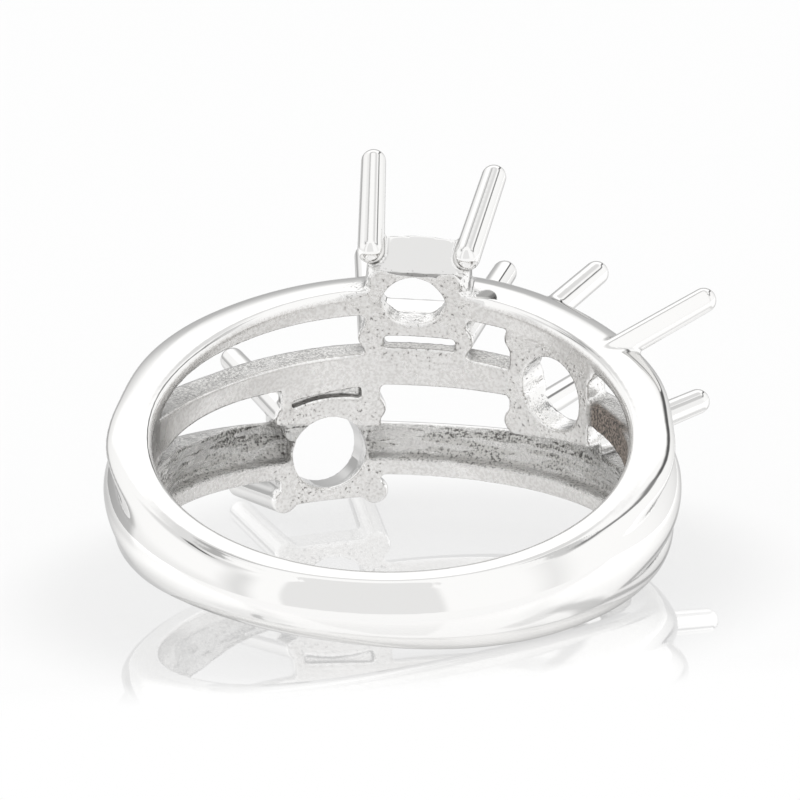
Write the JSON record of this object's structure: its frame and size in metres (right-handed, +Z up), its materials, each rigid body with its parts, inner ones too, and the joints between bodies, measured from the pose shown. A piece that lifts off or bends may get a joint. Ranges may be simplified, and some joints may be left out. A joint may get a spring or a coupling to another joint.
{
  "type": "semi mount ring setting",
  "caption": "Semi mount ring setting with strands that part over the top, empty heads with long untrimmed prongs, and a narrow polished palm",
  "frame": {"origin": "centre of the bounding box, on the floor under the ring", "axes": "+Z up from the floor, with the ring lying on its side; +Y from the palm towards the heads; +X to the right as the picture shows it"},
  "size_m": [0.0226, 0.025, 0.0135],
  "materials": {
    "polished_silver": "polished"
  },
  "bodies": {
    "root": {"ring_setting": "polished_silver"}
  },
  "joints": []
}
